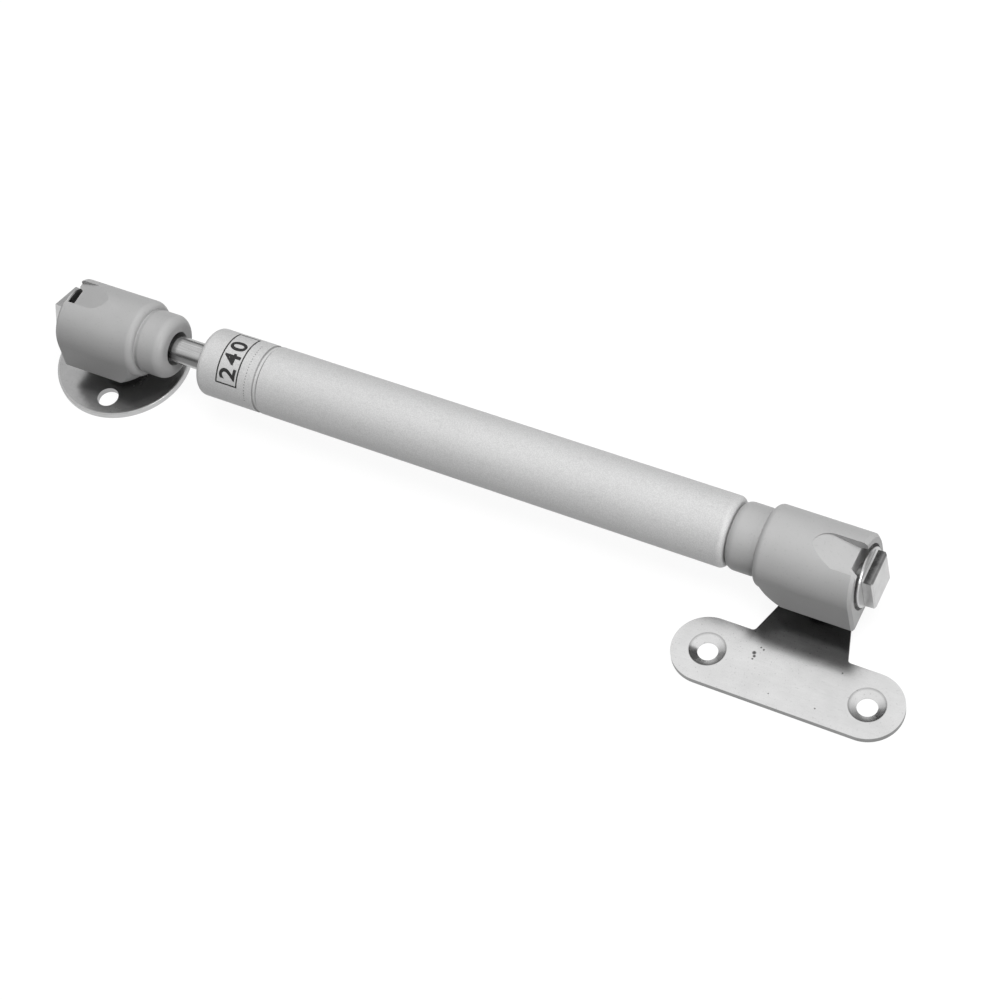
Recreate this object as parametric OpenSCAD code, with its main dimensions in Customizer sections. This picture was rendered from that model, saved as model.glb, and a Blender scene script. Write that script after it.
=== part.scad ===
// Gas strut with a ball-jointed plastic end fitting and a flat screw-on plate at each end.
// It lies on its two plates. The origin is the underside of the round plate, under the rod's
// ball stud. X runs along the strut towards the tube's end, and Z is up, out of the plates.

/* [Tube] */
// Outer diameter of the pressure tube
tube_d = 15; // [13:0.5:18]
// Length of the tube over its rolled ends
tube_len = 122.6; // [110:0.1:160]
// Wall of the tube
tube_wall = 1; // [0.8:0.1:1.2]
// Radius that the tube's ends are rolled to
tube_roll_r = 1.3; // [1:0.1:2]
// Diameter of the opening that the rod passes at the rolled rod end
rod_lip_d = 8.4; // [7.4:0.1:9.4]
// Diameter of the opening at the rolled plug end
plug_lip_d = 10; // [8:0.1:11]
// Distance from the tube's rod end to the middle of the rolled groove
bead_x = 14.8; // [11:0.1:18]
// Width of the rolled groove
bead_w = 1.3; // [1:0.1:2]
// Depth of the rolled groove
bead_depth = 0.4; // [0.2:0.05:0.6]

/* [Rod] */
// Diameter of the rod
rod_d = 6; // [5:0.1:6.4]
// Length of rod that shows between the fitting and the tube
rod_show = 9.3; // [7:0.1:60]
// Diameter of the rod's turned-down end, which carries the piston
rod_pin_d = 4; // [3:0.1:4.4]
// Diameter of the peened head that holds the piston
rod_peen_d = 6.4; // [5:0.1:8]
// Height of the peened head
rod_peen_h = 1.2; // [0.8:0.1:2]

/* [Guide and seal at the rod end] */
// Thickness of the rod seal
seal_h = 3.4; // [2.6:0.1:4.4]
// Depth of the seal's lip groove
seal_lip_depth = 1.6; // [1:0.1:2]
// Thickness of the washer that backs the seal
seal_washer_h = 1; // [0.8:0.1:1.6]
// Bore of the washer that backs the seal
seal_washer_bore = 7; // [6.6:0.1:8]

/* [Piston] */
// Length of the piston
piston_h = 5; // [4:0.1:7]
// Gap between the piston and the tube's bore, all round
piston_gap = 0.12; // [0.08:0.01:0.2]
// Width of the groove for the piston's ring
piston_groove_w = 2; // [1.6:0.1:2.4]
// Depth of the groove for the piston's ring
piston_groove_depth = 1.3; // [1:0.1:1.5]
// Diameter of the orifice through the piston
orifice_d = 0.8; // [0.5:0.1:1.2]
// Thickness of the throttle washer
throttle_h = 0.8; // [0.5:0.1:1.2]
// Diameter of the throttle washer
throttle_d = 7.2; // [6.4:0.1:7.4]
// Free travel left before the piston meets the plug
piston_rest = 4.5; // [3:0.1:10]

/* [End plug] */
// Length of the plug inside the tube
plug_len = 9; // [7:0.1:12]
// Length of the stem that the fitting is screwed on
plug_stem_len = 11; // [8:0.1:12]
// Width of the groove for the plug's ring
plug_groove_w = 2; // [1.6:0.1:2.4]
// Depth of the groove for the plug's ring
plug_groove_depth = 1.3; // [1:0.1:1.6]

/* [End fittings] */
// Radius of the fitting's round top, which is half its width
fit_r = 8.6; // [7.8:0.1:10]
// Distance from the ball's centre to the middle of the fitting's outer end
fit_out = 8.9; // [8.6:0.1:12]
// Distance from the ball's centre to the end of the wide body
fit_body = 12; // [11:0.1:15]
// Distance from the ball's centre to the end of the collar
fit_end = 18.7; // [17:0.1:22]
// How much shorter the rod end's fitting is, from its shoulder on
rod_fit_short = 1; // [0:0.1:1.5]
// Height of the ball's centre above the fitting's flat underside
fit_low = 7.7; // [7:0.1:9]
// Radius of the round collar
collar_r = 7.12; // [6.2:0.01:7.6]
// Rounding of the collar's end
collar_round = 2; // [0.8:0.1:2.4]
// Rounding of the wide body's shoulder at the collar
shoulder_round = 1.4; // [0.6:0.1:2]
// Depth of the small groove at the foot of the shoulder
shoulder_groove = 0.25; // [0.1:0.05:0.4]
// Chamfer round the fitting's outer end
end_chamfer = 0.6; // [0.2:0.1:0.8]
// Lean of the outer end, whose top lies further in than its foot
end_lean = 4; // [0:0.5:6]
// Rounding of the two lower edges
low_round = 0.7; // [0.4:0.1:1.2]
// Distance from the ball's centre at which the lower corners start to round off
corner_start = 5; // [4:0.1:8]
// How far the rounded-off lower corners bulge
corner_bulge = 0.3; // [0:0.05:0.6]
// Diameter of the recess round the rod in the collar's end
collar_recess_d = 7.6; // [7:0.1:9]
// Depth of that recess
collar_recess_depth = 2.4; // [1:0.1:4]
// Distance from the ball's centre to the bottom of the screwed bore
bore_stop = 6.4; // [6:0.1:7]
// Diameter of the recess in the fitting's outer end
end_recess_d = 13.6; // [12.8:0.1:14.4]
// Depth of that recess
end_recess_depth = 1.5; // [1:0.1:2.4]
// Width of the pocket in the fitting's top
pocket_w = 7; // [5:0.1:8]
// Distance of the pocket's middle from the fitting's middle, to one side
pocket_side = 1.4; // [0:0.1:2]
// Distance from the ball's centre to the pocket's round end
pocket_reach = 2; // [0:0.1:4]
// Height of the pocket's floor above the ball's centre at the outer end
pocket_floor = 5.5; // [5.2:0.1:7]

/* [Ball joints] */
// Diameter of the ball
ball_d = 8; // [7:0.1:8.6]
// Height of the ball's centre above the plate
ball_h = 11.7; // [11:0.1:14]
// Diameter of the opening that the ball snaps through
socket_lip_d = 7.4; // [7:0.1:8]
// Diameter of the socket's mouth at the underside
socket_mouth_d = 10; // [9:0.1:11]
// Diameter of the stud's neck
neck_d = 4.6; // [3.6:0.1:5]
// Diameter of the stud's flange on the plate
flange_d = 7.4; // [6:0.1:8.4]
// Thickness of the stud's flange
flange_h = 0.9; // [0.6:0.1:1.4]
// Diameter of the stud's shank in the plate
shank_d = 4; // [3:0.1:4.6]
// Diameter of the stud's riveted foot
foot_d = 5.8; // [5:0.1:6.6]
// Height of the riveted foot
foot_h = 0.6; // [0.4:0.05:0.8]

/* [Lock screws] */
// Width of the square head, across the strut
head_w = 7.8; // [6:0.1:9]
// Height of the square head
head_tall = 8.8; // [7:0.1:10]
// Thickness of the square head
head_t = 2.3; // [1.5:0.1:3]
// Chamfer along the edges of the head's outer face
head_chamfer = 0.35; // [0.1:0.05:0.6]
// Angle at which the rod end's lock screw has come to a stop
rod_head_turn = -20; // [-45:1:45]
// Angle at which the tube end's lock screw has come to a stop
tube_head_turn = 0; // [-45:1:45]
// Diameter of the screw's shank
screw_d = 5; // [4:0.1:5]
// Outer diameter of the ring under the head
ring_d = 12.4; // [11:0.1:13]
// Thickness of the ring
ring_t = 0.6; // [0.4:0.1:1]
// Gap between the fitting's end and the ring
ring_off = 0.1; // [0.05:0.05:0.4]

/* [Plates] */
// Thickness of both plates
plate_t = 1.4; // [1.2:0.1:2]
// Diameter of the round plate
disc_d = 30.8; // [29:0.1:36]
// Diameter of the circle that the round plate's holes lie on
disc_pcd = 21.6; // [20:0.1:25]
// Number of holes in the round plate
disc_holes = 3; // [2:1:4]
// Diameter of the round plate's holes
disc_hole_d = 4.8; // [4:0.1:5.4]
// Angle of the first hole, from the strut's direction
disc_hole_angle = -78.6; // [-120:0.1:0]
// Length of the cross bar of the T plate
bar_len = 48.4; // [46:0.1:56]
// Width of the cross bar
bar_w = 14.7; // [13:0.1:17]
// Distance from the ball stud to the middle of the cross bar
bar_out = 20.3; // [19:0.1:26]
// Distance between the T plate's holes
bar_pitch = 33.6; // [31:0.1:36]
// Diameter of the T plate's holes
bar_hole_d = 4.2; // [3.8:0.1:5]
// Diameter of the countersinks
sink_d = 7.5; // [6.5:0.1:8.4]
// Depth of the countersinks
sink_depth = 0.9; // [0.6:0.1:1]
// Width of the T plate's neck where it leaves the cross bar
neck_w = 19.7; // [17:0.1:24]
// Radius of the T plate's nose round the ball stud
nose_r = 5.6; // [5:0.1:8]
// Radius of the fillets between the neck and the cross bar
neck_fillet = 0.9; // [0.5:0.1:2]
// Rounding of the plates' pressed edges
plate_round = 0.25; // [0.1:0.05:0.4]

/* [Fits] */
// Clearance all round between pieces that are assembled tight
fit_gap = 0.03; // [0.02:0.01:0.05]
// Clearance all round between pieces that run in each other
run_gap = 0.05; // [0.03:0.01:0.08]

/* [Hidden] */
$fn = 96;
eps = 0.01;

axis_z = plate_t + ball_h;
rod_r = rod_d / 2;
ball_r = ball_d / 2;
tube_r = tube_d / 2;
bore_r = tube_r - tube_wall;
tube_x0 = fit_end - rod_fit_short + rod_show;
tube_x1 = tube_x0 + tube_len;
stud_pitch = tube_x1 + fit_end;

// The guide fills what the seal and its washer leave between the rolled lip and the groove
guide_x = tube_x0 + tube_wall;
washer_x = tube_x0 + bead_x - bead_w / 2 - seal_washer_h;
seal_x = washer_x - seal_h;
guide_h = seal_x - guide_x;

plug_x = tube_x1 - tube_wall - plug_len;
rod_tip = plug_x - piston_rest;
piston_x = rod_tip - rod_peen_h - piston_h;
throttle_x = piston_x - throttle_h;
piston_r = bore_r - piston_gap;
piston_groove_r = piston_r - piston_groove_depth;

neck_half = neck_w / 2;
bar_back = bar_out - bar_w / 2;

steel = [0.78, 0.78, 0.77];
plated = [0.86, 0.86, 0.85];
moulded = [0.62, 0.62, 0.62];
painted = [0.76, 0.76, 0.76];
rubber = [0.12, 0.12, 0.12];
guide_grey = [0.35, 0.36, 0.37];

// Points of an arc about c, from angle a to angle b
function arc(c, r, a, b, n = 10) =
    [for (i = [0:n]) let (t = a + (b - a) * i / n) [c[0] + r * cos(t), c[1] + r * sin(t)]];

// Turns a profile of [radius, distance along the strut] into a solid on the strut's axis
module turned(points) {
    translate([0, 0, axis_z])
        rotate([0, 90, 0])
            rotate_extrude() polygon(points);
}

// A plain ring on the strut's axis
module turned_ring(x, h, r_out, r_in) {
    turned([[r_in, x], [r_out, x], [r_out, x + h], [r_in, x + h]]);
}

// Puts what was drawn round a ball's centre, with its strut towards +X, at either end
module at_rod_end() {
    translate([0, 0, axis_z]) children();
}

module at_tube_end() {
    translate([stud_pitch, 0, axis_z]) rotate([0, 0, 180]) children();
}

// Tube: one wall, rolled in at both ends, with a groove rolled in behind the guide
module tube() {
    inner_roll = tube_roll_r - tube_wall > 0.2 ? tube_roll_r - tube_wall : 0.2;
    bead_c = tube_x0 + bead_x;
    // the groove's arc meets the wall over half the groove's width
    bead_r = (bead_w * bead_w / 4 + bead_depth * bead_depth) / (2 * bead_depth);
    bead_a = asin(bead_w / 2 / bead_r);
    outer = concat(
        arc([tube_r - tube_roll_r, tube_x0 + tube_roll_r], tube_roll_r, -90, 0),
        arc([tube_r - bead_depth + bead_r, bead_c], bead_r, 180 + bead_a, 180 - bead_a),
        arc([tube_r - tube_roll_r, tube_x1 - tube_roll_r], tube_roll_r, 0, 90));
    inner = concat(
        [[plug_lip_d / 2, tube_x1], [plug_lip_d / 2, tube_x1 - tube_wall]],
        arc([bore_r - inner_roll, tube_x1 - tube_wall - inner_roll], inner_roll, 90, 0, 4),
        arc([bore_r - bead_depth + bead_r, bead_c], bead_r, 180 - bead_a, 180 + bead_a),
        arc([bore_r - inner_roll, tube_x0 + tube_wall + inner_roll], inner_roll, 0, -90, 4),
        [[rod_lip_d / 2, tube_x0 + tube_wall], [rod_lip_d / 2, tube_x0]]);
    color(painted) turned(concat(outer, inner));
}

// Guide bush: fills the tube behind the rolled lip and carries the rod
module rod_guide() {
    edge = 0.4;
    r_out = bore_r - fit_gap;
    r_in = rod_r + run_gap;
    color(guide_grey)
        turned([[r_in, guide_x + fit_gap], [r_out - edge, guide_x + fit_gap],
            [r_out, guide_x + fit_gap + edge], [r_out, guide_x + guide_h - fit_gap],
            [r_in, guide_x + guide_h - fit_gap]]);
}

// Rod seal: a rubber ring whose lip groove opens towards the gas
module rod_seal() {
    r_out = bore_r - fit_gap;
    r_in = rod_r + run_gap;
    groove_half = 0.5;
    r_mid = (r_out + r_in) / 2;
    color(rubber)
        difference() {
            turned_ring(seal_x, seal_h - fit_gap, r_out, r_in);
            turned([[r_mid - groove_half / 2, seal_x + seal_h - seal_lip_depth],
                [r_mid + groove_half / 2, seal_x + seal_h - seal_lip_depth],
                [r_mid + groove_half, seal_x + seal_h + eps],
                [r_mid - groove_half, seal_x + seal_h + eps]]);
        }
}

// Washer between the seal and the rolled groove
module seal_washer() {
    color(steel)
        turned_ring(washer_x, seal_washer_h - fit_gap, bore_r - fit_gap, seal_washer_bore / 2);
}

// Rod: screwed into its fitting at one end, turned down and peened over the piston at the other
module rod() {
    tip = 0.6;
    start = bore_stop + fit_gap;
    color(steel)
        turned([[0, start], [rod_r - tip, start], [rod_r, start + tip], [rod_r, throttle_x],
            [rod_pin_d / 2, throttle_x], [rod_pin_d / 2, piston_x + piston_h],
            [rod_peen_d / 2, piston_x + piston_h], [rod_peen_d / 2 - tip, rod_tip], [0, rod_tip]]);
}

// Throttle washer: lies between the rod's shoulder and the piston
module throttle_washer() {
    color(steel)
        turned_ring(throttle_x + fit_gap, throttle_h - fit_gap, throttle_d / 2,
            rod_pin_d / 2 + fit_gap);
}

// Piston: grooved for its ring, with one orifice through it
module piston() {
    groove_x = piston_x + (piston_h - piston_groove_w) / 2;
    orifice_at = (rod_peen_d / 2 + piston_groove_r) / 2;
    color(guide_grey)
        difference() {
            turned([[rod_pin_d / 2 + fit_gap, piston_x + fit_gap], [piston_r, piston_x + fit_gap],
                [piston_r, groove_x], [piston_groove_r, groove_x],
                [piston_groove_r, groove_x + piston_groove_w], [piston_r, groove_x + piston_groove_w],
                [piston_r, piston_x + piston_h - fit_gap],
                [rod_pin_d / 2 + fit_gap, piston_x + piston_h - fit_gap]]);
            translate([piston_x - eps, orifice_at, axis_z])
                rotate([0, 90, 0])
                    cylinder(d = orifice_d, h = piston_h + 2 * eps);
        }
}

// Piston ring: stays still in the piston's groove as the rod turns
module piston_seal() {
    groove_x = piston_x + (piston_h - piston_groove_w) / 2;
    color(rubber)
        turned_ring(groove_x + run_gap, piston_groove_w - 2 * run_gap, bore_r - run_gap,
            piston_groove_r + run_gap);
}

// End plug: fills the tube's end, and its stem carries the tube's fitting
module end_plug() {
    r_out = bore_r - fit_gap;
    edge = 0.5;
    groove_x = plug_x + (plug_len - plug_groove_w) / 2;
    groove_r = bore_r - plug_groove_depth;
    boss_r = plug_lip_d / 2 - fit_gap;
    inside = tube_x1 - tube_wall - fit_gap;
    stem_end = tube_x1 + plug_stem_len;
    color(steel)
        turned([[0, plug_x], [r_out - edge, plug_x], [r_out, plug_x + edge], [r_out, groove_x],
            [groove_r, groove_x], [groove_r, groove_x + plug_groove_w],
            [r_out, groove_x + plug_groove_w], [r_out, inside - edge], [r_out - edge, inside],
            [boss_r, inside], [boss_r, tube_x1 - fit_gap], [rod_r, tube_x1 - fit_gap],
            [rod_r, stem_end - edge], [rod_r - edge, stem_end], [0, stem_end]]);
}

// Rubber ring in the plug's groove
module end_plug_seal() {
    groove_x = plug_x + (plug_len - plug_groove_w) / 2;
    color(rubber)
        turned_ring(groove_x + fit_gap, plug_groove_w - 2 * fit_gap, bore_r - fit_gap,
            bore_r - plug_groove_depth + fit_gap);
}

// Outline of the fitting across the strut: round on top, flat sides and underside
module fitting_outline() {
    intersection() {
        circle(fit_r);
        translate([-fit_r, -fit_low]) square([2 * fit_r, fit_low + fit_r]);
    }
    translate([-fit_r, -fit_low + low_round]) square([2 * fit_r, fit_low - low_round]);
    translate([-fit_r + low_round, -fit_low]) square([2 * (fit_r - low_round), fit_low]);
    for (side = [-1, 1])
        translate([side * (fit_r - low_round), -fit_low + low_round]) circle(low_round);
}

// Turned shape round the fitting's own axis, from a profile of [radius, x]
module fitting_turned(points) {
    rotate([0, 90, 0]) rotate_extrude() polygon(points);
}

// Leans what lies at the fitting's outer end, about the middle of that end
module leaning() {
    translate([-fit_out, 0, 0])
        rotate([0, end_lean, 0])
            translate([fit_out, 0, 0]) children();
}

// Half space beyond the fitting's outer end
module beyond_end() {
    translate([-fit_out - 4, -fit_r - 2, -fit_r - 2]) cube([4, 2 * fit_r + 4, 2 * fit_r + 4]);
}

// What the chamfer round the fitting's outer end takes away
module end_chamfer_cut() {
    over = 0.2;
    // section of the cut at a face that lies at the distance r, as [distance, x]
    function section(r) = [[r - end_chamfer - over, -fit_out - over],
        [r + over, -fit_out + end_chamfer + over], [r + over, -fit_out - over]];
    flipped = [for (p = section(fit_r)) [p[1], p[0]]];
    below = [for (p = section(fit_low)) [p[1], -p[0]]];
    intersection() {
        fitting_turned(section(fit_r));
        translate([-fit_out - 1, -fit_r - 1, 0])
            cube([end_chamfer + 2, 2 * fit_r + 2, fit_r + 1]);
    }
    for (side = [0, 1])
        mirror([0, side, 0])
            translate([0, 0, -fit_low - over])
                linear_extrude(fit_low + over) polygon(flipped);
    translate([0, fit_r + over, 0])
        rotate([90, 0, 0])
            linear_extrude(2 * (fit_r + over)) polygon(below);
}

// Wide body: the outline's prism, whose lower corners and shoulder round off towards the collar
module fitting_body(short) {
    corner_r = sqrt(fit_r * fit_r + fit_low * fit_low);
    shoulder_x = fit_body - short - shoulder_round;
    steps = 12;
    intersection() {
        translate([-fit_out - 1, 0, 0])
            rotate([90, 0, 90])
                linear_extrude(fit_out + 1 + fit_body - short) fitting_outline();
        fitting_turned(concat(
            [[0, -fit_out - 2], [corner_r, -fit_out - 2]],
            [for (i = [0:steps]) let (t = i / steps)
                [corner_r + t * (fit_r - corner_r) + corner_bulge * sin(180 * t),
                    corner_start + t * (shoulder_x - corner_start)]],
            arc([fit_r - shoulder_round, shoulder_x], shoulder_round, 10, 90),
            [[0, fit_body - short]]));
    }
}

// Round collar with a shallow groove at the body's shoulder
module fitting_collar(short) {
    foot = fit_body - short + 0.3;
    end = fit_end - short;
    fitting_turned(concat(
        [[0, 0], [collar_r - shoulder_groove, 0], [collar_r - shoulder_groove, foot],
            [collar_r, foot + 3 * shoulder_groove]],
        arc([collar_r - collar_round, end - collar_round], collar_round, 0, 90),
        [[0, end]]));
}

// Screwed bore with the recess at its mouth
module rod_bore(short) {
    end = fit_end - short;
    rotate([0, 90, 0]) {
        translate([0, 0, bore_stop])
            cylinder(r = rod_r + fit_gap, h = end - bore_stop + eps);
        translate([0, 0, end - collar_recess_depth])
            cylinder(d = collar_recess_d, h = collar_recess_depth + eps);
    }
}

// Recess in the outer end, and the lock screw's bore
module end_bores() {
    rotate([0, 90, 0]) {
        translate([0, 0, -fit_out - eps])
            cylinder(d = end_recess_d, h = end_recess_depth + eps);
        translate([0, 0, -fit_out])
            cylinder(r = screw_d / 2 + fit_gap, h = fit_out - ball_r / 2);
    }
}

// Ball socket, open below, with a lip that the ball snaps past
module ball_socket() {
    socket_r = ball_r + run_gap;
    lip_r = socket_lip_d / 2;
    lip_a = -acos(lip_r / socket_r);
    steps = 16;
    rotate_extrude()
        polygon(concat(
            [[0, -fit_low - eps], [socket_mouth_d / 2, -fit_low - eps]],
            [for (i = [0:steps - 1]) let (t = lip_a + (90 - lip_a) * i / steps)
                [socket_r * cos(t), socket_r * sin(t)]],
            [[0, socket_r]]));
}

// Round-ended pocket in the top, whose floor slopes down to the outer end
module top_pocket() {
    run = fit_out + pocket_reach - pocket_w / 2;
    slope = atan((fit_r - pocket_floor) / (fit_out + pocket_reach));
    translate([-fit_out, pocket_side, pocket_floor])
        rotate([0, -slope, 0]) {
            translate([-fit_out, -pocket_w / 2, 0]) cube([fit_out + run, pocket_w, fit_r]);
            translate([run, 0, 0]) cylinder(d = pocket_w, h = fit_r);
        }
}

// End fitting, drawn round the ball's centre with its collar towards +X; short is what its
// shoulder and collar lack in length
module end_fitting(short) {
    color(moulded)
        difference() {
            union() {
                fitting_body(short);
                fitting_collar(short);
            }
            leaning() {
                beyond_end();
                end_chamfer_cut();
                end_bores();
            }
            rod_bore(short);
            ball_socket();
            top_pocket();
        }
}

module rod_fitting() {
    at_rod_end() end_fitting(rod_fit_short);
}

module tube_fitting() {
    at_tube_end() end_fitting(0);
}

// Lock screw: its shank runs up to the ball, and its square head stands outside the fitting
module lock_screw(turn) {
    head_x = -fit_out - ring_off - ring_t;
    // the shank's end stands off the ball by the running gap
    tip = -fit_out + fit_out * cos(end_lean) - ball_r - run_gap;
    color(plated)
        leaning() rotate([turn, 0, 0]) difference() {
            union() {
                translate([head_x - head_t, -head_w / 2, -head_tall / 2])
                    cube([head_t, head_w, head_tall]);
                translate([head_x - eps, 0, 0])
                    rotate([0, 90, 0]) cylinder(d = screw_d, h = tip - head_x + eps);
            }
            // chamfers along the four edges of the outer face
            for (side = [-1, 1]) {
                translate([head_x - head_t, side * head_w / 2, 0])
                    rotate([0, 0, 45]) cube([head_chamfer * sqrt(2), head_chamfer * sqrt(2),
                        2 * head_tall], center = true);
                translate([head_x - head_t, 0, side * head_tall / 2])
                    rotate([0, 45, 0]) cube([head_chamfer * sqrt(2), 2 * head_w,
                        head_chamfer * sqrt(2)], center = true);
            }
        }
}

module rod_lock_screw() {
    at_rod_end() lock_screw(rod_head_turn);
}

module tube_lock_screw() {
    at_tube_end() lock_screw(tube_head_turn);
}

// Lock ring: thin, round, under the screw's head
module lock_ring() {
    r_out = ring_d / 2;
    r_in = screw_d / 2 + fit_gap;
    x = -fit_out - ring_off - ring_t + fit_gap;
    h = ring_t - fit_gap;
    round = 0.2;
    color(plated)
        leaning()
            fitting_turned([[r_in, x], [r_out - round, x], [r_out, x + round],
                [r_out, x + h - round], [r_out - round, x + h], [r_in, x + h]]);
}

module rod_lock_ring() {
    at_rod_end() lock_ring();
}

module tube_lock_ring() {
    at_tube_end() lock_ring();
}

// Ball stud: ball, neck, flange on the plate, shank through it and a foot riveted flush below
module ball_stud() {
    neck_r = neck_d / 2;
    neck_top = ball_h - sqrt(ball_r * ball_r - neck_r * neck_r);
    start = -asin((ball_h - neck_top) / ball_r);
    color(steel)
        rotate_extrude()
            polygon(concat(
                [[0, -plate_t + run_gap], [foot_d / 2, -plate_t + run_gap],
                    [shank_d / 2, -plate_t + foot_h], [shank_d / 2, run_gap],
                    [flange_d / 2, run_gap], [flange_d / 2, flange_h - 0.2],
                    [flange_d / 2 - 0.2, flange_h], [neck_r, flange_h]],
                [for (i = [0:20]) let (t = start + (90 - start) * i / 20)
                    [i == 20 ? 0 : ball_r * cos(t), ball_h + ball_r * sin(t)]]));
}

module rod_stud() {
    translate([0, 0, plate_t]) ball_stud();
}

module tube_stud() {
    translate([stud_pitch, 0, plate_t]) ball_stud();
}

// Hole in a plate for the stud's shank, sunk below for its riveted foot
module stud_hole() {
    foot_r = foot_d / 2;
    shank_r = shank_d / 2;
    rotate_extrude()
        polygon([[0, -eps], [foot_r + run_gap, -eps], [foot_r + run_gap, run_gap],
            [shank_r + run_gap, foot_h + run_gap], [shank_r + run_gap, plate_t + eps],
            [0, plate_t + eps]]);
}

// Round plate, with its upper edge rounded by the press
module disc_bracket() {
    color(plated)
        difference() {
            rotate_extrude()
                polygon(concat(
                    [[0, 0], [disc_d / 2, 0]],
                    arc([disc_d / 2 - plate_round, plate_t - plate_round], plate_round, 0, 90, 4),
                    [[0, plate_t]]));
            stud_hole();
            for (i = [0:disc_holes - 1])
                rotate([0, 0, disc_hole_angle + i * 360 / disc_holes])
                    translate([disc_pcd / 2, 0, -eps])
                        cylinder(d = disc_hole_d, h = plate_t + 2 * eps);
        }
}

// What fills the corner between the T plate's neck and its bar, on the +X side
module neck_corner(lean) {
    run = neck_fillet / tan((90 + lean) / 2);
    corner = [neck_half, -bar_back];
    centre = [neck_half + run, -bar_back + neck_fillet];
    touch = [neck_half - run * sin(lean), -bar_back + run * cos(lean)];
    into = 0.5;
    difference() {
        polygon([corner + [-into, -into], [centre[0], -bar_back - into], [centre[0], -bar_back],
            centre, touch, touch + [-into, 0]]);
        translate(centre) circle(neck_fillet);
    }
}

// Outline of the T plate round its stud: cross bar towards -Y, neck, and a round nose
module t_outline() {
    end_r = bar_w / 2;
    end_x = bar_len / 2 - end_r;
    // the neck's sides run from the bar and touch the nose
    lean = atan(neck_half / bar_back)
        - asin(nose_r / sqrt(neck_half * neck_half + bar_back * bar_back));
    touch = [nose_r * cos(lean), nose_r * sin(lean)];
    translate([-end_x, -bar_out - end_r]) square([2 * end_x, bar_w]);
    for (side = [-1, 1])
        translate([side * end_x, -bar_out]) circle(end_r);
    circle(nose_r);
    polygon([touch, [-touch[0], touch[1]], [-neck_half, -bar_back], [-neck_half, -bar_out],
        [neck_half, -bar_out], [neck_half, -bar_back]]);
    for (side = [0, 1])
        mirror([side, 0]) neck_corner(lean);
}

// T plate
module t_bracket() {
    color(plated)
        translate([stud_pitch, 0, 0])
            difference() {
                linear_extrude(plate_t) t_outline();
                stud_hole();
                for (side = [-1, 1])
                    translate([side * bar_pitch / 2, -bar_out, 0]) {
                        translate([0, 0, -eps]) cylinder(d = bar_hole_d, h = plate_t + 2 * eps);
                        translate([0, 0, plate_t - sink_depth])
                            cylinder(d1 = bar_hole_d, d2 = sink_d, h = sink_depth + eps);
                    }
            }
}

disc_bracket();
rod_stud();
rod_fitting();
rod_lock_screw();
rod_lock_ring();
rod();
throttle_washer();
piston();
piston_seal();
rod_guide();
rod_seal();
seal_washer();
tube();
end_plug();
end_plug_seal();
tube_fitting();
tube_lock_screw();
tube_lock_ring();
tube_stud();
t_bracket();
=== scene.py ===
"""Looks of a small furniture gas strut that lies on its two screw-on plates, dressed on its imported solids."""

import math

import bmesh
import bpy
from mathutils import Matrix, Vector


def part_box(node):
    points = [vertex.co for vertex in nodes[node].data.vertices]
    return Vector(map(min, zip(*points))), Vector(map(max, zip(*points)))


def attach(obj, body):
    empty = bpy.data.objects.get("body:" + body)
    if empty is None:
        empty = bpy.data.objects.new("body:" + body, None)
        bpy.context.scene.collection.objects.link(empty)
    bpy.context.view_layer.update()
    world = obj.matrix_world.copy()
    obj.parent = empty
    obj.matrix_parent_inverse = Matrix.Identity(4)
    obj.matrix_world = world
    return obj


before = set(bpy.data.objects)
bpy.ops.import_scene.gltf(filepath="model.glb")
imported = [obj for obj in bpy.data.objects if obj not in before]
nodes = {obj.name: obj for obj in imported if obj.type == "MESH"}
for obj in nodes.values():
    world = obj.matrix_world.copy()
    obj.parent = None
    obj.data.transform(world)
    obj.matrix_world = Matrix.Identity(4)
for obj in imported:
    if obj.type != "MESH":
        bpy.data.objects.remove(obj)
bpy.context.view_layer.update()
MM = 0.001

# The view.
# The strut is seen from above and from its tube end, through a lens as long as a portrait lens.
# The picture is turned a little, so the strut runs down to the right.
image_px = 1000
focal_px = 2387
sensor_mm = 36
nearest_seen = 10 * MM
view_azimuth, view_elevation, view_roll = -38.641, 55.156, -14.593
camera_at = Vector((274.67, -226.01, 410.55)) * MM

camera = bpy.data.cameras.new("camera")
camera.sensor_width = sensor_mm
camera.lens = focal_px * sensor_mm / image_px
camera.clip_start = nearest_seen
camera_object = bpy.data.objects.new("camera", camera)
bpy.context.scene.collection.objects.link(camera_object)
around, above = math.radians(view_azimuth), math.radians(view_elevation)
looking = Vector((math.sin(around) * math.cos(above), math.cos(around) * math.cos(above), -math.sin(above)))
level_right = looking.cross(Vector((0, 0, 1))).normalized()
right = Matrix.Rotation(math.radians(-view_roll), 3, looking) @ level_right
up = right.cross(looking)
facing = Matrix((right, up, -looking)).transposed().to_4x4()
camera_object.matrix_world = Matrix.Translation(camera_at) @ facing
bpy.context.scene.camera = camera_object
bpy.context.scene.view_settings.view_transform = "Standard"


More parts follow.
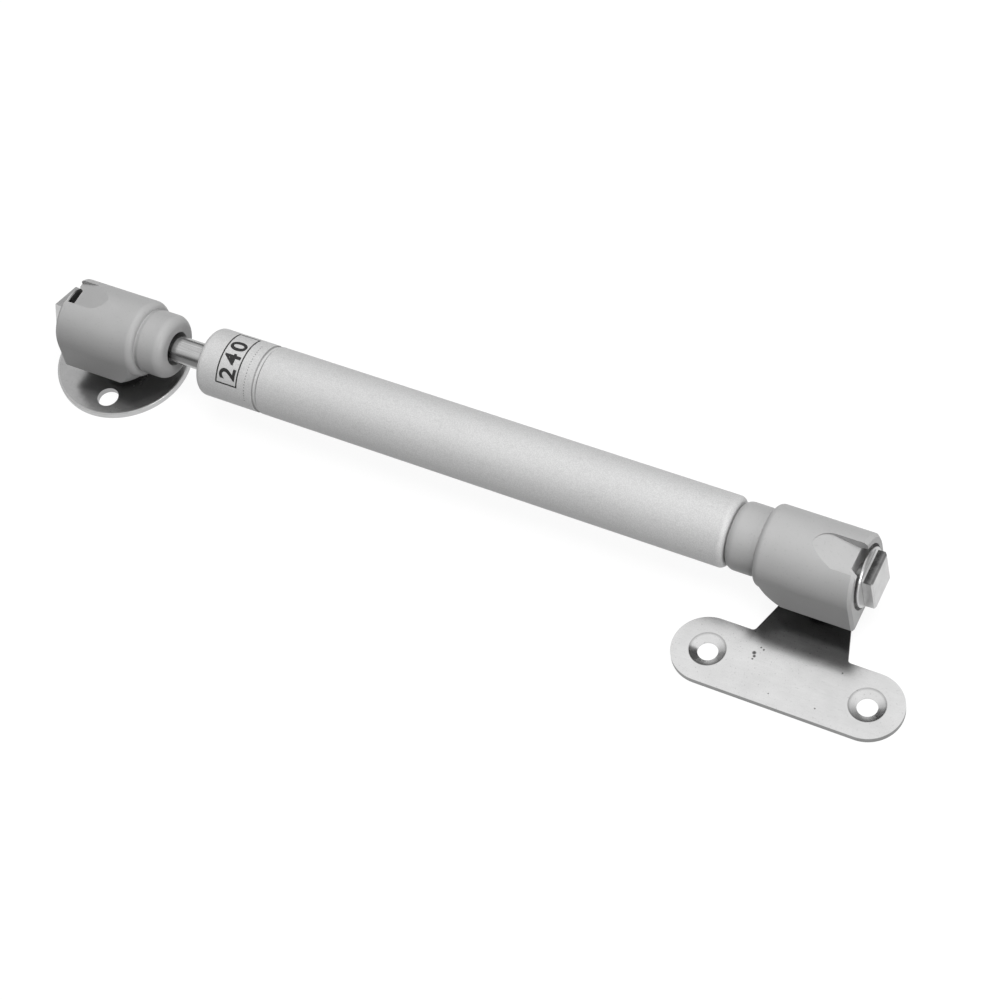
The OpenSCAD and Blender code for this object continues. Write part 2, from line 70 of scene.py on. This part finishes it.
# The studio.
# A white sweep lies under the strut, and one large soft box hangs over it, with a small one at its tube end.
# Polished metal sees the same white, which falls off towards the dark room, but not the large soft box.
class Shade:
    """A value in a node tree, with the sums that are used on it. The node itself is kept too."""

    def __init__(self, tree, node=None, socket=None):
        self.tree = tree
        self.node = node
        self.socket = socket

    def __getitem__(self, name):
        return Shade(self.tree, self.node, self.node.outputs[name])

    def make(self, kind, settings=(), **inputs):
        """Adds a node: its settings first, then its inputs, by name or by number after an underscore."""
        node = self.tree.nodes.new(kind if "Node" in kind else "ShaderNode" + kind)
        for name, value in dict(settings).items():
            setattr(node, name, value)
        for name, value in inputs.items():
            target = node.inputs[int(name[1:]) if name[0] == "_" else name.replace("_", " ")]
            if isinstance(value, Shade):
                self.tree.links.new(value.socket, target)
            else:
                target.default_value = value
        return Shade(self.tree, node, node.outputs[0] if node.outputs else None)

    def maths(self, operation, a, b=0.0):
        return self.make("Math", {"operation": operation}, _0=a, _1=b)

    def __add__(self, other):
        return self.maths("ADD", self, other)

    def __sub__(self, other):
        return self.maths("SUBTRACT", self, other)

    def __mul__(self, other):
        return self.maths("MULTIPLY", self, other)

    def __rsub__(self, other):
        return self.maths("SUBTRACT", other, self)

    __radd__ = __add__
    __rmul__ = __mul__

    def step(self, start, end):
        """0 where the value is at start, 1 where it is at end, and smooth between them."""
        return self.make("MapRange", {"interpolation_type": "SMOOTHSTEP"}, Value=self,
                         From_Min=start, From_Max=end, To_Min=0.0, To_Max=1.0)

    def grey(self, dark, light):
        """A grey that runs from dark to light as the value goes from 0 to 1."""
        mix = self.make("Mix", {"data_type": "RGBA"}, _0=self, _6=(dark, dark, dark, 1),
                        _7=(light, light, light, 1))
        mix.socket = next(output for output in mix.node.outputs if output.type == "RGBA")
        return mix


def tree_of(owner):
    """The emptied node tree of a material or a world."""
    owner.use_nodes = True
    owner.node_tree.nodes.clear()
    return Shade(owner.node_tree)


floor_half = 1.5
floor_drop = 0.02 * MM
floor_mesh = bpy.data.meshes.new("floor")
corners = [(sx * floor_half, sy * floor_half, -floor_drop) for sx, sy in ((-1, -1), (1, -1), (1, 1), (-1, 1))]
floor_mesh.from_pydata(corners, [], [(0, 1, 2, 3)])
floor = bpy.data.objects.new("floor", floor_mesh)
bpy.context.scene.collection.objects.link(floor)

paper_grey = 0.12
paper_seen, paper_mirrored, paper_through = 0.92, 0.75, 0.9
sweep = bpy.data.materials.new("white_sweep")
tree = tree_of(sweep)
path = tree.make("LightPath")
glowing = (path["Is Camera Ray"] * paper_seen + path["Is Glossy Ray"] * paper_mirrored
           + path["Is Transmission Ray"] * paper_through)
paper = tree.make("BsdfDiffuse", Color=(paper_grey, paper_grey, paper_grey, 1))
glow = tree.make("Emission", Color=(1, 1, 1, 1), Strength=glowing)
tree.make("OutputMaterial", Surface=tree.make("AddShader", _0=paper, _1=glow))
floor_mesh.materials.append(sweep)

ambient = 0.2
room_low, room_low_to, room_high_from = 0.12, 0.05, 0.75
world = bpy.data.worlds.new("world")
bpy.context.scene.world = world
tree = tree_of(world)
path = tree.make("LightPath")
height = tree.make("SeparateXYZ", _0=tree.make("TexCoord")["Generated"])["Z"]
room = room_low + (1 - room_low) * height.step(room_low_to, room_high_from)
seen = path["Is Camera Ray"] + path["Is Transmission Ray"]
level = seen + (1 - seen) * (path["Is Glossy Ray"] * room + (1 - path["Is Glossy Ray"]) * ambient)
tree.make("OutputWorld", Surface=tree.make("Background", Color=(1, 1, 1, 1), Strength=level))


def soft_box(name, at, aim, size, power, mirrored):
    """An area lamp at a place, in metres, turned to the point that it lights, shown in metal or not."""
    lamp = bpy.data.lights.new(name, "AREA")
    lamp.size = size
    lamp.energy = power
    lamp_object = bpy.data.objects.new(name, lamp)
    bpy.context.scene.collection.objects.link(lamp_object)
    place = Vector(at)
    lamp_object.location = place
    lamp_object.rotation_euler = (Vector(aim) - place).to_track_quat("-Z", "Y").to_euler()
    lamp_object.visible_glossy = mirrored


strut_middle = (0.085, 0, 0.01)
soft_box("overhead", at=(0.24, 0.03, 0.8), aim=strut_middle, size=0.5, power=6.0, mirrored=False)
soft_box("tube_end_fill", at=(0.75, -0.2, 0.25), aim=strut_middle, size=0.3, power=1.5, mirrored=True)

# Tube.
# Drawn steel, painted silver: the flakes in the paint show as a fine speckle along the whole tube.
# It is rolled in over both ends and has one rolled groove that holds the seal's washer; painted shade darkens
# the groove's two edges and a painted highlight lightens its floor.
groove_at, groove_half = 41.8, 0.65
relief_height = 0.02 * MM


def new_material(name):
    """A new material, its emptied tree, and the place on the object in millimetres."""
    material = bpy.data.materials.new(name)
    tree = tree_of(material)
    place = tree.make("VectorMath", {"operation": "SCALE"}, _0=tree.make("TexCoord")["Object"], Scale=1 / MM)
    return material, tree, place


def grain(tree, place, size, detail=2.0, stretch=(1, 1, 1)):
    """Smooth noise from 0 to 1, with grains of about that many millimetres."""
    stretched = tree.make("VectorMath", {"operation": "MULTIPLY"}, _0=place,
                          _1=tuple(1 / (size * s) for s in stretch))
    return tree.make("TexNoise", Vector=stretched, Scale=1.0, Detail=detail, Roughness=0.6)["Fac"]


def finish(tree, colour, roughness, relief=None, strength=0.0, **more):
    """Ends a material's tree with its colour, its roughness and, where it has one, its fine relief."""
    if relief is not None:
        more["Normal"] = tree.make("Bump", Strength=strength, Distance=relief_height, Height=relief)
    surface = tree.make("BsdfPrincipled", Base_Color=colour, Roughness=roughness, **more)
    tree.make("OutputMaterial", Surface=surface)


def dress(material, *names):
    """Gives CAD nodes their material."""
    for name in names:
        mesh = nodes[name].data
        mesh.materials.clear()
        mesh.materials.append(material)


paint, tree, place = new_material("silver_paint")
speckle = grain(tree, place, 0.22, 1.0).step(0.35, 0.68)
cloud = grain(tree, place, 9, stretch=(2.5, 1, 1))
drawn = grain(tree, place, 0.5, stretch=(0.35, 1, 1))
blotch = grain(tree, place, 0.9, stretch=(1.8, 1, 1)).step(0.52, 0.72)
from_groove = tree.maths("ABSOLUTE", tree.make("SeparateXYZ", _0=place)["X"] - groove_at)
# Painted shade along the groove's two edges, and a painted highlight on its floor between them.
groove_edge_painted_shade = from_groove.step(groove_half * 0.3, groove_half * 0.6)
groove_edge_painted_shade = groove_edge_painted_shade * (1 - from_groove.step(groove_half * 0.8, groove_half))
groove_floor_painted_highlight = 1 - from_groove.step(groove_half * 0.2, groove_half * 0.4)
tone = 0.625 + 0.13 * speckle + 0.1 * cloud + 0.1 * drawn - 0.045 * blotch
tone = tone - 0.5 * groove_edge_painted_shade + 0.08 * groove_floor_painted_highlight
finish(tree, tone.grey(0.12, 0.84), 0.58 + 0.1 * cloud, speckle + drawn, 0.25,
       Metallic=0.35, Coat_Weight=0.15, Coat_Roughness=0.35)
dress(paint, "tube")

# Label on the tube.
# A thin frame and plain numerals are printed in black round the tube near its rod end.
# They are laid on the paint as thin ink and read upwards from the near side.
tube_radius, axis_height = 7.5, 13.1
label_from, label_to = 32.4, 37.7
label_low, label_high = 27.5, 133.0
label_line = 0.31
numerals = "240"
numeral_angles = (47.0, 72.5, 98.0)
numeral_height, numeral_width = 3.9, 2.6
numeral_weight, numeral_smoothness, numeral_strips = 0.022, 6, 12
ink_rise = 0.03
ink_step = 2


def on_tube(x, degrees):
    """A point just over the paint, x along the strut and at an angle up from the near side."""
    reach = tube_radius + ink_rise
    angle = math.radians(degrees)
    return Vector((x, -reach * math.cos(angle), axis_height + reach * math.sin(angle))) * MM


def ink_strip(mesh, x0, x1, low, high):
    """A patch of ink between two places along the tube and two angles, in small steps round it."""
    count = max(1, round((high - low) / ink_step))
    rows = []
    for i in range(count + 1):
        angle = low + (high - low) * i / count
        rows.append((mesh.verts.new(on_tube(x0, angle)), mesh.verts.new(on_tube(x1, angle))))
    for (a, b), (c, d) in zip(rows, rows[1:]):
        mesh.faces.new((b, a, c, d))


def numeral_mesh(text):
    """One numeral of the built-in typeface as a flat mesh, centred, 1 high and 1 wide."""
    curve = bpy.data.curves.new("numeral", "FONT")
    curve.body = text
    curve.resolution_u = numeral_smoothness
    curve.offset = numeral_weight
    holder = bpy.data.objects.new("numeral", curve)
    bpy.context.scene.collection.objects.link(holder)
    depsgraph = bpy.context.evaluated_depsgraph_get()
    flat = bpy.data.meshes.new_from_object(holder.evaluated_get(depsgraph))
    bpy.data.objects.remove(holder)
    low = Vector([min(v.co[k] for v in flat.vertices) for k in range(2)])
    high = Vector([max(v.co[k] for v in flat.vertices) for k in range(2)])
    for v in flat.vertices:
        v.co.x = (v.co.x - (low.x + high.x) / 2) / (high.x - low.x)
        v.co.y = (v.co.y - (low.y + high.y) / 2) / (high.y - low.y)
    return flat


label = bmesh.new()
line_angle = math.degrees(label_line / tube_radius)
ink_strip(label, label_from, label_from + label_line, label_low, label_high)
ink_strip(label, label_to - label_line, label_to, label_low, label_high)
ink_strip(label, label_from + label_line, label_to - label_line, label_low, label_low + line_angle)
ink_strip(label, label_from + label_line, label_to - label_line, label_high - line_angle, label_high)
label_middle = (label_from + label_to) / 2
for text, centre in zip(numerals, numeral_angles):
    flat = numeral_mesh(text)
    glyph = bmesh.new()
    glyph.from_mesh(flat)
    bmesh.ops.triangulate(glyph, faces=glyph.faces)
    for i in range(1, numeral_strips):
        everything = glyph.verts[:] + glyph.edges[:] + glyph.faces[:]
        cut_at = (i / numeral_strips - 0.5, 0, 0)
        bmesh.ops.bisect_plane(glyph, geom=everything, plane_co=cut_at, plane_no=(1, 0, 0))
    for v in glyph.verts:
        across = math.degrees(v.co.x * numeral_width / tube_radius)
        v.co = on_tube(label_middle - v.co.y * numeral_height, centre + across)
    glyph.to_mesh(flat)
    label.from_mesh(flat)
    glyph.free()
    bpy.data.meshes.remove(flat)
for face in label.faces:
    face.normal_update()
    outward = face.calc_center_median() - Vector((0, 0, axis_height * MM))
    outward.x = 0
    if face.normal.dot(outward) < 0:
        face.normal_flip()
label_mesh = bpy.data.meshes.new("tube_label")
label.to_mesh(label_mesh)
label.free()
tube_label = bpy.data.objects.new("tube_label", label_mesh)
bpy.context.scene.collection.objects.link(tube_label)

ink, tree, place = new_material("black_ink")
wear = grain(tree, place, 0.3).step(0.3, 0.8)
finish(tree, wear.grey(0.008, 0.03), 0.5 + 0.1 * wear)
label_mesh.materials.append(ink)
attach(tube_label, "barrel")

# Print beside the label.
# The printing wheel also leaves a faint row of ink dots round the tube, next to the label's frame.
# They are worn, and paler than the label.
print_at = 39.5
dot_count, dot_first, dot_pitch = 22, 8.0, 5.0
dot_radius, dot_corners = 0.12, 10
worn_ink, tree, place = new_material("worn_ink")
wear = grain(tree, place, 0.5).step(0.3, 0.7)
finish(tree, wear.grey(0.12, 0.4), 0.5 + 0.1 * wear)

dots_tree = bpy.data.node_groups.new("dots_round_a_tube", "GeometryNodeTree")
dot_sizes = {
    "Dots": ("NodeSocketInt", dot_count),
    "First angle": ("NodeSocketFloat", math.radians(dot_first)),
    "Pitch": ("NodeSocketFloat", math.radians(dot_pitch)),
    "Dot radius": ("NodeSocketFloat", dot_radius * MM),
    "Reach": ("NodeSocketFloat", (tube_radius + ink_rise) * MM),
    "Along": ("NodeSocketFloat", print_at * MM),
    "Axis height": ("NodeSocketFloat", axis_height * MM),
}
for name, (kind, size) in dot_sizes.items():
    dots_tree.interface.new_socket(name, in_out="INPUT", socket_type=kind)
dots_tree.interface.new_socket("Geometry", in_out="OUTPUT", socket_type="NodeSocketGeometry")
tree = Shade(dots_tree)
given = tree.make("NodeGroupInput")
turned = given["First angle"] + given["Pitch"] * tree.make("GeometryNodeInputIndex")
dot_y = 0 - given["Reach"] * tree.maths("COSINE", turned)
dot_z = given["Axis height"] + given["Reach"] * tree.maths("SINE", turned)
spots = tree.make("GeometryNodePoints", Count=given["Dots"],
                  Position=tree.make("CombineXYZ", X=given["Along"], Y=dot_y, Z=dot_z))
dot = tree.make("GeometryNodeMeshCircle", {"fill_type": "NGON"}, Vertices=dot_corners,
                Radius=given["Dot radius"])
facing_out = tree.make("CombineXYZ", X=math.pi / 2 - turned)
dots = tree.make("GeometryNodeInstanceOnPoints", Points=spots, Instance=dot, Rotation=facing_out)
real = tree.make("GeometryNodeRealizeInstances", Geometry=dots)
tree.make("NodeGroupOutput", _0=tree.make("GeometryNodeSetMaterial", Geometry=real, Material=worn_ink))

tube_print = bpy.data.objects.new("tube_print", bpy.data.meshes.new("tube_print"))
bpy.context.scene.collection.objects.link(tube_print)
printed = tube_print.modifiers.new("print", "NODES")
printed.node_group = dots_tree
for socket in dots_tree.interface.items_tree:
    if socket.in_out == "INPUT":
        printed[socket.identifier] = dot_sizes[socket.name][1]
made = bpy.data.meshes.new_from_object(tube_print.evaluated_get(bpy.context.evaluated_depsgraph_get()))
tube_print.modifiers.clear()
tube_print.data = made
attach(tube_print, "barrel")

# Rod.
# Hardened bright steel, ground and polished, with fine lines along it and a dark band round its near side, a
# painted reflection of the dark room.
# Its thin end is screwed into the fitting and its other end carries the piston inside the tube.
dark_band_at, dark_band_half, dark_band_end = 20, 10, 26
rod_steel, tree, place = new_material("rod_steel")
parts = tree.make("SeparateXYZ", _0=place)
turned = tree.maths("DEGREES", tree.maths("ARCTAN2", parts["Z"] - axis_height, 0 - parts["Y"]))
# Painted reflection: a dark band round the rod's near side, where it would mirror the dark room, a little
# rougher there too.
painted_reflection_band = 1 - tree.maths("ABSOLUTE", turned - dark_band_at).step(dark_band_half, dark_band_end)
ground = grain(tree, place, 0.4, 3.0, (40, 1, 1))
cloud = grain(tree, place, 5)
tone = 0.6 * ground + 0.4 * cloud - 0.55 * painted_reflection_band
finish(tree, tone.grey(0.22, 0.78), 0.14 + 0.15 * ground + 0.08 * painted_reflection_band, ground, 0.15, Metallic=1.0)
dress(rod_steel, "rod")

# End fittings.
# Both are the same grey glass-filled plastic moulding, satin, with a fine spark-eroded grain.
# The flow of the plastic leaves faint clouds, and a few pits show.
plastic, tree, place = new_material("moulded_grey")
fine = grain(tree, place, 0.12, 1.0)
flow = grain(tree, place, 6, stretch=(1.5, 1, 1))
pits = grain(tree, place, 0.45, 0.0).step(0.7, 0.78)
tone = 0.1 + 0.3 * fine + 0.5 * flow - 0.25 * pits
finish(tree, tone.grey(0.38, 0.5), 0.36 + 0.1 * flow, fine - pits, 0.3)
dress(plastic, "rod_fitting", "tube_fitting")


# Lock screws and their rings.
# Each screw's square head stands outside its fitting and turns the screw in until it stops at the ball.
# Head and ring are zinc plated and bright; the top of the tube end's head is painted dark, a painted reflection
# of the shaded fitting end beside it, fading away from the fitting.
def metal(name, dark, light, roughness, scratch_size, stretch):
    """Bare or plated metal: grain stretched the way it was worked, uneven in colour and in gloss."""
    material, tree, place = new_material(name)
    scratch = grain(tree, place, scratch_size, 3.0, stretch)
    worked = 0.6 * scratch + 0.4 * grain(tree, place, scratch_size * 12)
    finish(tree, worked.grey(dark, light), roughness + 0.15 * worked, scratch, 0.15, Metallic=1.0)
    return material


bright_steel = metal("bright_steel", dark=0.5, light=0.72, roughness=0.22, scratch_size=0.3,
                     stretch=(1, 1, 1))
dress(bright_steel, "rod_lock_ring", "tube_lock_ring")

head_from = 178.0
head_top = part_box("tube_lock_screw")[1][2] / MM
dark_top_from, dark_top_full = head_top - 0.8, head_top - 0.3
dark_top_fade_from, dark_top_fade_to = head_from + 0.5, head_from + 2.2
head_steel, tree, place = new_material("head_steel")
parts = tree.make("SeparateXYZ", _0=place)
# Painted reflection: the top of the tube end's head is painted dark where it mirrors the shaded fitting end,
# less so further from the fitting, and a little rougher there.
painted_dark_top = parts["X"].step(head_from, head_from + 0.1) * parts["Z"].step(dark_top_from, dark_top_full)
painted_dark_top = painted_dark_top * (1 - 0.55 * parts["X"].step(dark_top_fade_from, dark_top_fade_to))
scratch = grain(tree, place, 0.3, 3.0)
cloud = grain(tree, place, 2.5)
tone = 0.75 + 0.3 * cloud - 0.8 * painted_dark_top - 0.15 * scratch
finish(tree, tone.grey(0.06, 0.78), 0.25 + 0.1 * scratch + 0.15 * painted_dark_top, scratch, 0.2, Metallic=1.0)
dress(head_steel, "rod_lock_screw", "tube_lock_screw")

# T plate.
# Pressed from zinc plated sheet steel that is almost a mirror, so its neck shows the fitting above it.
# Fine specks lie all over it, with dark marks by the neck, dull edges, and painted shade round the stud where
# the fitting above shades the sheet and shows dark in it.
sheet_top = 1.4
stud_x, bar_middle = 168.3, -20.3
hole_pitch, sink_radius = 33.6, 3.75
hole_spots = [(stud_x + end * hole_pitch / 2, bar_middle, 0) for end in (-1, 1)]
mark_spots = ((160.4, -17.7, 0.42), (160.7, -18.4, 0.32), (160.6, -19.1, 0.2), (161.2, -16.1, 0.18),
              (161.9, -16.4, 0.2), (178.1, -15.6, 0.16), (176.1, -24.8, 0.16), (166.5, -25.1, 0.14))
stud_shade_from, stud_shade_full = -16.6, -13.4
stud_shade_half, stud_shade_end = 9.6, 12.5


def distance(tree, place, spot):
    """How far each place is from one spot, in millimetres."""
    return tree.make("VectorMath", {"operation": "DISTANCE"}, _0=place, _1=spot)["Value"]


def seen_from_above(tree, place):
    """The place without its height."""
    return tree.make("VectorMath", {"operation": "MULTIPLY"}, _0=place, _1=(1, 1, 0))


plate, tree, place = new_material("zinc_plate")
parts = tree.make("SeparateXYZ", _0=place)
speck = grain(tree, place, 0.35, 0.0).step(0.72, 0.8)
rolled_in = grain(tree, place, 0.4, 3.0, (8, 1, 1))
cloud = grain(tree, place, 7, 3.0)
marks = 0.0
for mark_x, mark_y, mark_radius in mark_spots:
    away = distance(tree, place, (mark_x, mark_y, sheet_top))
    marks = tree.maths("MAXIMUM", marks, 1 - away.step(mark_radius * 0.5, mark_radius * 1.3))
cut_edge = 1 - parts["Z"].step(sheet_top - 0.2, sheet_top - 0.05)
burr = 0.0
plan = seen_from_above(tree, place)
for hole_spot in hole_spots:
    out = distance(tree, plan, hole_spot)
    cut_edge = cut_edge * out.step(sink_radius + 0.2, sink_radius + 0.5)
    burr = burr + out.step(sink_radius - 0.5, sink_radius) * (1 - out.step(sink_radius, sink_radius + 0.15))
beside_stud = tree.maths("ABSOLUTE", parts["X"] - stud_x)
# Painted shade round the stud: the sheet is darkened where the fitting above casts shadow on it and is mirrored
# dark in it.
painted_stud_shade = parts["Y"].step(stud_shade_from, stud_shade_full) * (1 - beside_stud.step(stud_shade_half, stud_shade_end))
tone = 0.6 + 0.26 * cloud + 0.08 * rolled_in - 0.15 * speck - 0.5 * cut_edge
tone = tone - 0.75 * marks - 0.54 * painted_stud_shade - 0.3 * burr
gloss = 0.17 + 0.06 * cloud + 0.2 * cut_edge
finish(tree, tone.grey(0.08, 0.92), gloss, rolled_in + speck, 0.12, Metallic=1.0)
dress(plate, "t_bracket")

# Round plate.
# The same plated sheet, painted darker as painted shade for the darker surroundings it mirrors, and a little
# rougher, with a rim that the press has rounded, painted bright as a painted highlight.
# Its three holes are plain.
disc_radius = 15.4
disc, tree, place = new_material("zinc_plate_painted_darker")
cloud = grain(tree, place, 5, 3.0)
rolled_in = grain(tree, place, 0.35, 3.0, (6, 1, 1))
speck = grain(tree, place, 0.3, 0.0).step(0.72, 0.8)
from_middle = distance(tree, seen_from_above(tree, place), (0, 0, 0))
# Painted highlight: the rounded rim is painted bright where it catches the light, and made rougher.
rim_painted_highlight = from_middle.step(disc_radius - 0.6, disc_radius - 0.1)
# A low tone overall is painted shade, darker than the T plate's copy of the same zinc.
tone = 0.2 + 0.25 * cloud + 0.1 * rolled_in - 0.1 * speck + 0.3 * rim_painted_highlight
gloss = 0.22 + 0.08 * cloud + 0.2 * rim_painted_highlight
finish(tree, tone.grey(0.14, 0.85), gloss, rolled_in + speck, 0.12, Metallic=1.0)
dress(disc, "disc_bracket")

# Ball studs.
# Turned steel, hardened and oiled, a little darker than the plates they are riveted to.
stud_steel = metal("stud_steel", dark=0.32, light=0.5, roughness=0.2, scratch_size=0.2, stretch=(1, 1, 3))
dress(stud_steel, "rod_stud", "tube_stud")

# What runs inside the tube.
# The washers and the plug are steel, the guide and the piston plastic, and the seals black rubber.
# None of it shows unless the tube is taken away.
inner_steel = metal("inner_steel", dark=0.35, light=0.55, roughness=0.25, scratch_size=0.3, stretch=(1, 4, 4))
dress(inner_steel, "throttle_washer", "seal_washer", "end_plug")


def soft_finish(name, dark, light, grain_size, roughness):
    """Plastic or rubber with a fine moulded grain."""
    material, tree, place = new_material(name)
    fine = grain(tree, place, grain_size)
    finish(tree, fine.grey(dark, light), roughness + 0.15 * fine, fine, 0.3)
    return material


inner_plastic = soft_finish("inner_plastic", dark=0.08, light=0.14, grain_size=0.3, roughness=0.4)
dress(inner_plastic, "rod_guide", "piston")
rubber = soft_finish("rubber", dark=0.012, light=0.03, grain_size=0.2, roughness=0.45)
dress(rubber, "rod_seal", "piston_seal", "end_plug_seal")
